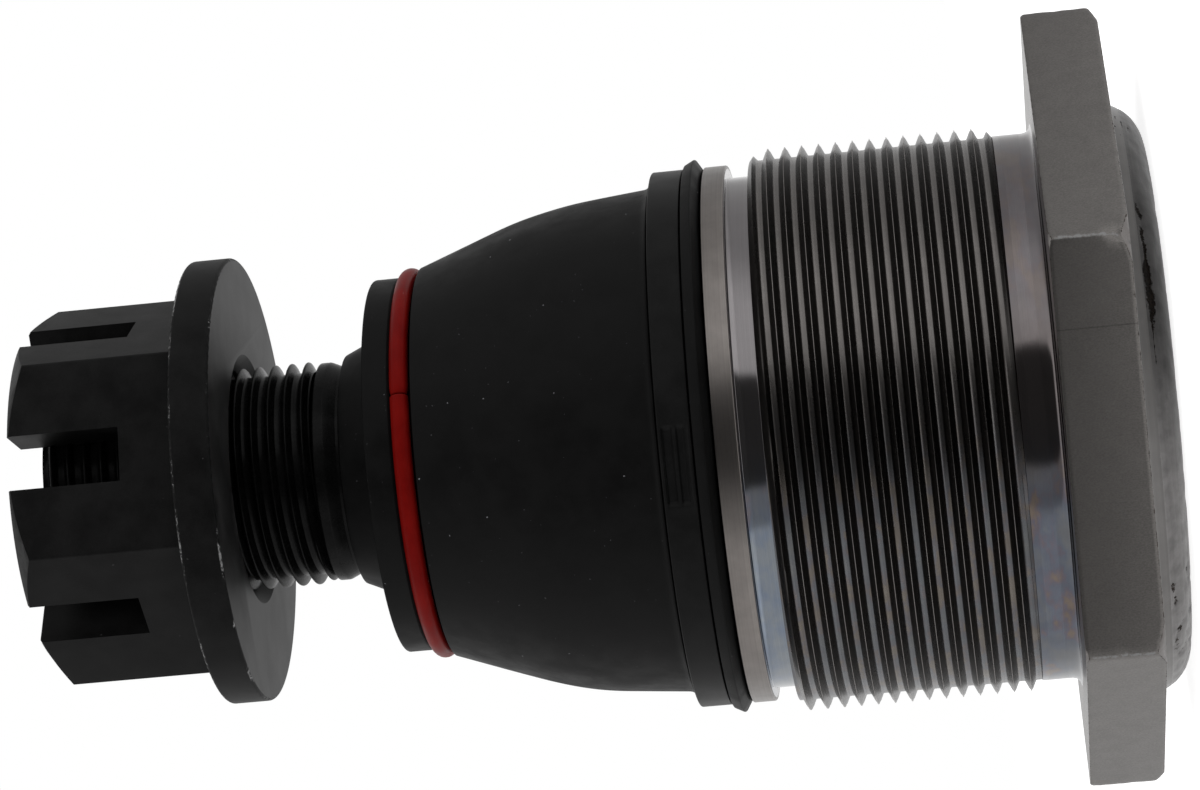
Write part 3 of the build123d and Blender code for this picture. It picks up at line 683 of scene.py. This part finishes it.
def lathedBand(corners, angles, slot, longest=0.7):
    # an outline with rounded corners turned about the axis
    return band(profileBand(divided(roundedOutline(corners, 3), longest), angles), slot)


def threadBand(thread, angles, slot=0):
    return band(threadRows(thread, angles), slot, 0, len(thread["ridge"]))


def ballArc(radius, start, end, count):
    # points (R sin t, centre + R cos t) of a circle about the ball's centre
    sweep = np.linspace(start, end, count)
    return np.stack([radius * np.sin(sweep), ballHeight + radius * np.cos(sweep)], axis=-1)


def makeHousing(part):
    root = part["thread"]["ridge"][0][1]
    spigotTop = nodeSpan("housing")[1]
    reliefRadius, reliefTop, fillet = part["reliefRadius"], part["reliefTop"], part["reliefFillet"]
    relief = [(reliefRadius + fillet, seatHeight, 0), (reliefRadius, seatHeight, fillet),
              (reliefRadius, reliefTop, 0.05), (root, reliefTop, 0)]
    grooveRadius, grooveFoot = part["grooveRadius"], part["grooveFoot"]
    collarRadius, foot, top = part["collarRadius"], part["collarFoot"], part["collarTop"]
    groove = [(root, grooveFoot, 0), (grooveRadius, grooveFoot, 0.15), (grooveRadius, foot, 0.15),
              (collarRadius - 0.3, foot, 0)]
    collar = [(collarRadius - 0.3, foot, 0), (collarRadius, foot, 0.14), (collarRadius, top, 0.1),
              (part["spigotRadius"], top, 0.2), (part["spigotRadius"], spigotTop, 0.2),
              (part["mouthRadius"], spigotTop, 0)]
    seat = ballArc(part["boreRadius"], np.radians(part["mouthAngle"]), np.pi / 2, 24)
    pocket, ledge, fold = part["pocketRadius"], part["ledge"], part["foldThickness"]
    opened = [(part["boreRadius"], ledge), (pocket, ledge), (pocket, fold), (part["openingRadius"], fold)]
    inside = np.concatenate([[(part["mouthRadius"], spigotTop)], seat, opened])
    bands = [*rimBands(part, around), *hexagonBands(part, around), lathedBand(relief, around, 3),
             threadBand(part["thread"], around, 4), lathedBand(groove, around, 5),
             lathedBand(collar, around, 6), band(profileBand(inside, around), 6)]
    return meshFromBands("housingShell", bands, housingSteels)


housingShell = makeHousing(housing)
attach(housingShell, "housing_body")
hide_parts("housing")
print("housing made:", len(housingShell.data.polygons), "faces")

clampBand = {
    "foot": 40.35, "top": 43.15, "innerRadius": 23.1, "outerRadius": 23.9, "soft": 0.12,
    "jointTurn": -95.0, "jointAngle": 16.0, "jointDepth": 0.1, "ramp": 1.6,
    "window": (0.3, 2.5), "grooves": [(2.02, 0.40, 0.30), (0.92, 0.30, 0.24)],
}


def makeClampBand(part):
    # a closed rectangular outline turned about the axis; over the joint its outer face drops by
    # depth * ramp(angle) * window(height), with two grooves (middle, half width, depth) running round
    joint = part["jointTurn"] + np.linspace(-10, 10, 121)
    angles = np.radians(np.concatenate([joint, part["jointTurn"] + np.linspace(10, 350, 321)[1:-1]]))
    corners = [(part["innerRadius"], part["foot"], 0), (part["outerRadius"], part["foot"], part["soft"]),
               (part["outerRadius"], part["top"], part["soft"]), (part["innerRadius"], part["top"], 0)]
    outline = divided(roundedOutline(corners, 4), 0.07)
    outline = np.concatenate([outline, outline[:1]])
    away = np.abs(turnFrom(angles, part["jointTurn"]))
    inside = np.clip((part["jointAngle"] / 2 - away) / part["ramp"] + 0.5, 0, 1)
    inside = inside * inside * (3 - 2 * inside)
    up = outline[:, 1] - part["foot"]
    low, high = part["window"]
    across = np.clip((up - low) / 0.12 + 0.5, 0, 1) * np.clip((high - up) / 0.12 + 0.5, 0, 1)
    drop = part["jointDepth"] * across[:, None] * inside
    for middle, half, depth in part["grooves"]:
        cut = np.clip((half - np.abs(up - middle)) / 0.14 + 0.5, 0, 1)
        drop = drop + depth * cut[:, None] * inside**2
    outer = outline[:, 0] > part["outerRadius"] - 0.01
    radius = outline[:, 0, None] - drop * outer[:, None]
    grid = rings(radius, np.broadcast_to(outline[:, 1, None], radius.shape), angles)
    return meshFromBands("clampBandFormed", [band(grid)], [bandBlack], 40)


clampBandFormed = makeClampBand(clampBand)
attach(clampBandFormed, "housing_body")
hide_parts("boot_clamp_band")
print("clamp band made")

boot = {
    "seam": 52.1, "footRadius": 21.55, "lipFoot": (23.6, 38.65), "lipPeak": (24.7, 39.32),
    "lipTop": (24.25, 40.2), "seatRadius": 22.95, "seatTop": 43.3, "flareReach": 23.35, "flare": 0.8,
    "bellFoot": (22.5, 43.45), "bellCorner": (21.6, 53.35), "bellTop": (17.5, 64.55), "bellBlend": 32.0,
    "wall": 0.95, "stepHeight": 41.85, "puckers": 9.0, "puckerDepth": 0.03, "puckerReach": 6.5,
    "ringHeight": 65.65, "ringRadius": 16.7, "grooveSection": 0.9, "grooveInset": 0.1,
    "flangeRadius": 16.75, "flange": (66.75, 68.95),
    "bead": [(11.9, 68.95), (11.5, 69.5), (11.0, 70.6), (10.3, 72.15)],
    "bore": [(10.01, 72.15), (10.28, 67.15)], "innerTop": (15.5, 64.55), "columns": 288,
}
bootColumns = evenAngles(boot["columns"])


def bellWall(part, offset):
    # the bell's two straight walls, joined by one long arc, as (radius, height) points
    foot, corner, top = part["bellFoot"], part["bellCorner"], part["bellTop"]
    corners = [(foot[0] - offset, foot[1], 0), (corner[0] - offset, corner[1], part["bellBlend"]),
               (top[0] - offset, top[1], 0)]
    return divided(roundedOutline(corners, 24), 0.5)


def cutAt(outline, height):
    # splits an upward outline where it crosses a height, and puts the crossing in both parts
    split = int(np.searchsorted(outline[:, 1], height))
    low, high = outline[split - 1], outline[split]
    crossing = low + (high - low) * (height - low[1]) / (high[1] - low[1])
    return np.vstack([outline[:split], crossing]), np.vstack([crossing, outline[split:]])


def makeBoot(part):
    # a closed outline round the rubber's wall, turned about the axis, in two halves that meet at the seam
    outerLow, outerHigh = cutAt(bellWall(part, 0), part["seam"])
    innerLow, innerHigh = cutAt(bellWall(part, part["wall"]), part["seam"])
    flared = outerLow[outerLow[:, 1] > part["bellFoot"][1] + part["flare"] + 0.3]
    footRadius, lipHeight = part["footRadius"], part["lipFoot"][1]
    seatRadius, seatTop = part["seatRadius"], part["seatTop"]
    lip = roundedOutline([(footRadius, lipHeight, 0), (*part["lipFoot"], 0.1), (*part["lipPeak"], 0.14),
                          (*part["lipTop"], 0.1), (seatRadius, part["lipTop"][1], 0.1),
                          (seatRadius, seatTop, 0.1), (part["flareReach"], seatTop, 0.06),
                          (*part["bellFoot"], part["flare"]), (*flared[0], 0)], 5)
    lower = np.concatenate([divided(lip, 0.5), flared[1:], innerLow[::-1],
                            [(footRadius, part["stepHeight"]), (footRadius, lipHeight)]])
    half = np.arccos(part["grooveInset"] / part["grooveSection"])
    sweep = np.linspace(-half, half, 15)
    groove = np.stack([part["ringRadius"] - part["grooveSection"] * np.cos(sweep),
                       part["ringHeight"] + part["grooveSection"] * np.sin(sweep)], axis=-1)
    flange = roundedOutline([(*groove[-1], 0), (part["flangeRadius"], part["flange"][0], 0.05),
                             (part["flangeRadius"], part["flange"][1], 0.18), (*part["bead"][0], 0.12),
                             *[(r, z, 0.35) for r, z in part["bead"][1:-1]], (*part["bead"][-1], 0.12),
                             (*part["bore"][0], 0.05), (*part["bore"][1], 0), (*part["innerTop"], 0.4),
                             (*innerHigh[-2], 0)], 4)
    upper = np.concatenate([outerHigh, groove, divided(flange, 0.6)[1:], innerHigh[::-1][2:], outerHigh[:1]])
    halves = []
    for name, outline in (("bootLower", lower), ("bootUpper", upper)):
        grid = profileBand(outline, bootColumns)
        drawn = part["puckerDepth"] * (1 + waves(grid, part["puckers"], 31))
        drawn = drawn * bump(grid[..., 2] - part["seam"], part["puckerReach"])
        grid[..., :2] *= (1 - drawn / np.linalg.norm(grid[..., :2], axis=-1))[..., None]
        halves.append(meshFromBands(name, [band(grid)], [bootRubber], 38))
    return halves


bootLower, bootUpper = makeBoot(boot)
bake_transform(bootLower)
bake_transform(bootUpper)
for half in (bootLower, bootUpper):
    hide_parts("boot")
print("boot made")

splitRing = {"height": 65.65, "radius": 16.7, "section": 0.83, "gapTurn": -69.0, "gapAngle": 0.5,
             "ends": [(0.9, 0.22), (0.15, 0.08)]}


def makeSplitRing(part):
    # a circle of the section's radius carried round the axis; at each end it draws in along a quarter
    # ellipse, given by (length, share of the section lost), and a flat cap closes it
    half = part["gapAngle"] / 2
    degree = 180 / np.pi / part["radius"]
    near = [length * (1 - np.cos(np.linspace(0, np.pi / 2, 9))) * degree for length, _ in part["ends"]]
    between = np.linspace(half + near[0][-1], 360 - half - near[1][-1], 240)[1:-1]
    sweep = np.concatenate([half + near[0], between, (360 - half - near[1])[::-1]])
    section = np.full(len(sweep), part["section"])
    for fromEnd, (length, lost) in zip((sweep - half, 360 - half - sweep), part["ends"]):
        closing = np.clip(fromEnd / degree / length, 0, 1)
        section = section * (1 - lost * (1 - np.sqrt(1 - (1 - closing) ** 2)))
    sweep, section = np.pad(sweep, 1, "edge"), np.pad(section, 1)
    turn = np.radians(part["gapTurn"] + sweep)[:, None]
    rim = evenAngles(28)
    radius = part["radius"] + section[:, None] * np.cos(rim)
    height = part["height"] + section[:, None] * np.sin(rim)
    return turned(radius, height, turn)


ringPiece = meshFromBands("redSplitRing", [band(makeSplitRing(splitRing))], [ringRed], 50)
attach(ringPiece, "neck_body")
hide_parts("boot_seal_ring")
print("ring made")

stud = {
    "ballRadius": 17.0, "flatDepth": 14.2, "neckRadius": 9.2, "shoulder": 52.7, "taperFoot": (10.8, 54.7),
    "taperTop": (9.85, 72.3), "undercut": (9.3, 72.6), "collarRadius": 9.8, "collarFoot": 73.7,
    "threadFoot": 74.6, "end": 98.9, "columns": 144, "holeRadius": 2.1, "holeHeight": 94.4, "holeTurn": -17.2,
    "thread": {"start": 74.6, "end": 98.9, "pitch": 1.5, "shift": 0.41, "startSlope": 1.2, "endSlope": 1.0,
               "ridge": [(0.17, 9.08), (0.30, 9.14), (0.52, 9.62), (0.62, 9.88), (0.69, 9.98), (0.75, 10.0),
                         (0.81, 9.98), (0.88, 9.88), (0.98, 9.62), (1.20, 9.14), (1.33, 9.08)]},
}


def crossCylinder(name, radius, length, height, turn):
    # a plain round bar lying across the axis: the hole's cutter
    angles = evenAngles(48)
    reach = np.array([-length, -length, length, length])
    size = np.array([0, radius, radius, 0])
    across = np.array([-np.sin(turn), np.cos(turn), 0])
    along = np.array([np.cos(turn), np.sin(turn), 0])
    up = np.array([0, 0, 1.0])
    ring = np.cos(angles)[:, None] * across + np.sin(angles)[:, None] * up
    grid = reach[:, None, None] * along + size[:, None, None] * ring + np.array([0, 0, height])
    return meshFromBands(name, [band(grid)], [], 30)


def applyModifiers(piece):
    bpy.context.view_layer.update()
    piece.data = bpy.data.meshes.new_from_object(piece.evaluated_get(bpy.context.evaluated_depsgraph_get()))
    piece.modifiers.clear()


def cutBy(piece, cutter, sharp=35):
    # subtracts the cutter's solid from the piece and keeps the result as plain mesh
    tool = piece.modifiers.new("cut", "BOOLEAN")
    tool.operation, tool.object, tool.solver = "DIFFERENCE", cutter, "EXACT"
    applyModifiers(piece)
    bpy.data.objects.remove(cutter)
    piece.data.set_sharp_from_angle(angle=np.radians(sharp))
    return piece


def makeStud(part):
    # outline of ball, neck, taper and collar turned about the axis, with the helical thread above it
    angles = evenAngles(part["columns"])
    root = part["thread"]["ridge"][0][1]
    ball, neck = part["ballRadius"], part["neckRadius"]
    sphere = ballArc(ball, np.pi - np.arccos(part["flatDepth"] / ball), np.arcsin(neck / ball), 40)
    foot = ballHeight - part["flatDepth"]
    upper = roundedOutline([(*sphere[-1], 0), (neck, part["shoulder"], 0.6), (*part["taperFoot"], 0.4),
                            (*part["taperTop"], 0.2), (part["undercut"][0], part["taperTop"][1], 0.1),
                            (*part["undercut"], 0.15), (part["collarRadius"], part["collarFoot"], 0.5),
                            (part["collarRadius"], part["threadFoot"], 0.15), (root, part["threadFoot"], 0)])
    outline = np.concatenate([[(0, foot)], sphere, divided(upper, 1.0)[1:]])
    cap = np.array([(root, part["end"]), (0, part["end"])])
    bands = [band(profileBand(outline, angles)), threadBand(part["thread"], angles),
             band(profileBand(cap, angles))]
    made = meshFromBands("ballStudTurned", bands, [studBlack], 40)
    hole = crossCylinder("hole", part["holeRadius"], part["collarRadius"] + 4, part["holeHeight"],
                         np.radians(part["holeTurn"]))
    return cutBy(made, hole, 40)


studPiece = makeStud(stud)
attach(studPiece, "stud_body")
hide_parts("ball_stud")
print("stud made:", len(studPiece.data.polygons), "faces")

castleNut = {
    "edge": 0.14, "sharpFrom": 28,
    "thread": {"start": 83.6, "end": 99.0, "pitch": 1.5, "shift": 0.0, "startSlope": 1.0, "endSlope": 1.0,
               "ridge": [(0.3, 9.96), (0.62, 10.5), (0.88, 10.5), (1.2, 9.96)]},
}


def makeCastleNut(part):
    # the CAD nut's own faces with small rounds on the hard edges; the bore's thread is cut by a ridged rod
    made = weldedCopy("castle_nut", "castleNutForged", [nutBlack, nutFaceBlack])
    rounds = made.modifiers.new("softEdges", "BEVEL")
    rounds.width, rounds.segments = part["edge"] * mm, 2
    rounds.limit_method, rounds.angle_limit = "ANGLE", np.radians(part["sharpFrom"])
    rounds.use_clamp_overlap = True
    applyModifiers(made)
    angles = evenAngles(96)
    thread = part["thread"]
    inner = thread["ridge"][0][1]
    foot = profileBand(np.array([(0, thread["start"]), (inner, thread["start"])]), angles)
    top = profileBand(np.array([(inner, thread["end"]), (0, thread["end"])]), angles)
    cutBy(made, meshFromBands("rod", [band(foot), threadBand(thread, angles), band(top)], []), 19)
    middles = np.zeros(len(made.data.polygons) * 3)
    made.data.polygons.foreach_get("center", middles)
    onFace = middles[2::3] < (nodeSpan("castle_nut")[0] + 0.02) * mm
    made.data.polygons.foreach_set("material_index", onFace.astype(np.int32))
    return made


nutPiece = makeCastleNut(castleNut)
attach(nutPiece, "nut_body")
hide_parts("castle_nut")
print("nut made:", len(nutPiece.data.polygons), "faces")

shellPolymer = makeRubber("bearingShells", {
    "dark": (0.62, 0.58, 0.48, 1), "light": (0.72, 0.68, 0.58, 1), "gloss": 0.5, "dust": 0.05,
    "rough": (0.34, 0.48), "depth": 0.006, "edge": grey(1.0)})
plateFinish = {"color": (0.19, 0.185, 0.18), "fineness": 3.0, "rough": (0.28, 0.4)}
springFinish = {"color": (0.11, 0.108, 0.105), "fineness": 4.0, "rough": (0.25, 0.35)}
keptMaterials = {
    "closing_plate": makeSteel("closingPlate", plateFinish),
    "preload_spring": makeSteel("preloadSpring", springFinish),
    "lower_bearing_shell": shellPolymer, "upper_bearing_shell": shellPolymer,
}
for node, material in keptMaterials.items():
    frame["nodes"][node].data.materials.clear()
    frame["nodes"][node].data.materials.append(material)

studio = {
    "matt": 0.5, "floorGlow": 0.82, "floorMirror": 0.5, "floorRadii": [0.0, 200.0, 1200.0, 6000.0],
    "floorHeight": -0.1, "patternFrom": (0.05, 0.09), "aim": (0, 0, 0.05),
    "lamps": {"upperSide": ((0.55, -0.12, 0.12), 0.5, 0.55), "lowerSide": ((-0.55, -0.12, 0.12), 0.5, 0.55),
              "viewerSide": ((0.1, -0.8, 0.4), 0.4, 0.25)},
}
camera = {"focalLength": 120, "place": (1.43, -356.2, 16.9), "pan": 5.28, "tilt": 0.51, "roll": 5.32}


def makeWorld(settings):
    # white to the camera and to glass, the studio's own pattern to metal, and dimmer to matt surfaces
    world = bpy.data.worlds.new("studio")
    bpy.context.scene.world = world
    world.use_nodes = True
    tree = world.node_tree
    level = useGroup(tree, studioLevel, {"Direction": put(tree, "ShaderNodeTexCoord", output=0)})[0]
    seen = put(tree, "ShaderNodeLightPath").node.outputs
    missing = times(tree, seen["Is Glossy Ray"], calc(tree, "SUBTRACT", 1.0, level))
    white = calc(tree, "MAXIMUM", seen["Is Camera Ray"], seen["Is Transmission Ray"])
    white = calc(tree, "MAXIMUM", white, seen["Is Glossy Ray"])
    fill(tree, tree.nodes["Background"], {"Color": mixColor(tree, missing, grey(1.0), grey(0.0)),
                                          "Strength": mixValue(tree, white, settings["matt"], 1.0)})


def makeFloor(settings):
    # a wide pale disc; a share of glow keeps it white to the camera and to metal, the rest takes the shadow;
    # metal finds the studio's pattern carried on in it
    grid = rings(settings["floorRadii"], [settings["floorHeight"]] * 4, evenAngles(96))
    material, tree, shader = newMaterial("paleFloor", {"Roughness": 0.9, "Specular IOR Level": 0.0})
    seen = put(tree, "ShaderNodeLightPath").node.outputs
    place = put(tree, "ShaderNodeTexCoord", output=3)
    reach = vectorMath(tree, "LENGTH", {0: place}, 1)
    level = useGroup(tree, studioLevel, {"Direction": vectorMath(tree, "NORMALIZE", {0: place})})[0]
    level = mixValue(tree, remap(tree, reach, *settings["patternFrom"]), 1.0, level)
    level = mixValue(tree, seen["Is Glossy Ray"], 1.0, level)
    white = calc(tree, "MAXIMUM", seen["Is Camera Ray"], seen["Is Transmission Ray"])
    glow = times(tree, seen["Is Glossy Ray"], settings["floorMirror"])
    fill(tree, shader, {"Base Color": mixColor(tree, level, grey(0.0), grey(0.8)),
                        "Emission Color": mixColor(tree, level, grey(0.0), grey(1.0)),
                        "Emission Strength": mixValue(tree, white, glow, settings["floorGlow"])})
    floor = meshFromBands("floor", [band(grid)], [material])


def makeLamp(name, place, target, size, power):
    # a square soft lamp; power is the light that a white wall at the target would show
    lamp = bpy.data.lights.new(name, "AREA")
    lamp.shape, lamp.size = "SQUARE", size
    distance = (Vector(place) - Vector(target)).length
    lamp.energy = power * np.pi * distance**2 * np.pi
    holder = newObject(name, lamp)
    holder.location = place
    holder.rotation_euler = (Vector(target) - Vector(place)).to_track_quat("-Z", "Y").to_euler()
    holder.visible_glossy = False


def makeCamera(settings):
    # a long lens, level with the middle of the object, turned so that the stud's axis lies across the frame
    axes = {"roll": Vector((0, 1, 0)), "tilt": Vector((0, 0, -1)), "pan": Vector((1, 0, 0))}
    for name in ("pan", "tilt", "roll"):
        turn = Matrix.Rotation(np.radians(settings[name]), 3, axes[name])
        axes = {key: axis if key == name else turn @ axis for key, axis in axes.items()}
    forward, right, up = axes["roll"], axes["tilt"], axes["pan"]
    lens = bpy.data.cameras.new("camera")
    lens.lens, lens.sensor_width, lens.sensor_fit = settings["focalLength"], 36, "HORIZONTAL"
    holder = newObject("camera", lens)
    turn = Matrix((right, up, -forward)).transposed().to_4x4()
    holder.matrix_world = Matrix.Translation(Vector(settings["place"]) * mm) @ turn
    bpy.context.scene.camera = holder


makeWorld(studio)
makeFloor(studio)
for name, (place, size, power) in studio["lamps"].items():
    makeLamp(name, place, studio["aim"], size, power)
makeCamera(camera)
bpy.context.scene.view_settings.view_transform = "Standard"
print("studio made")
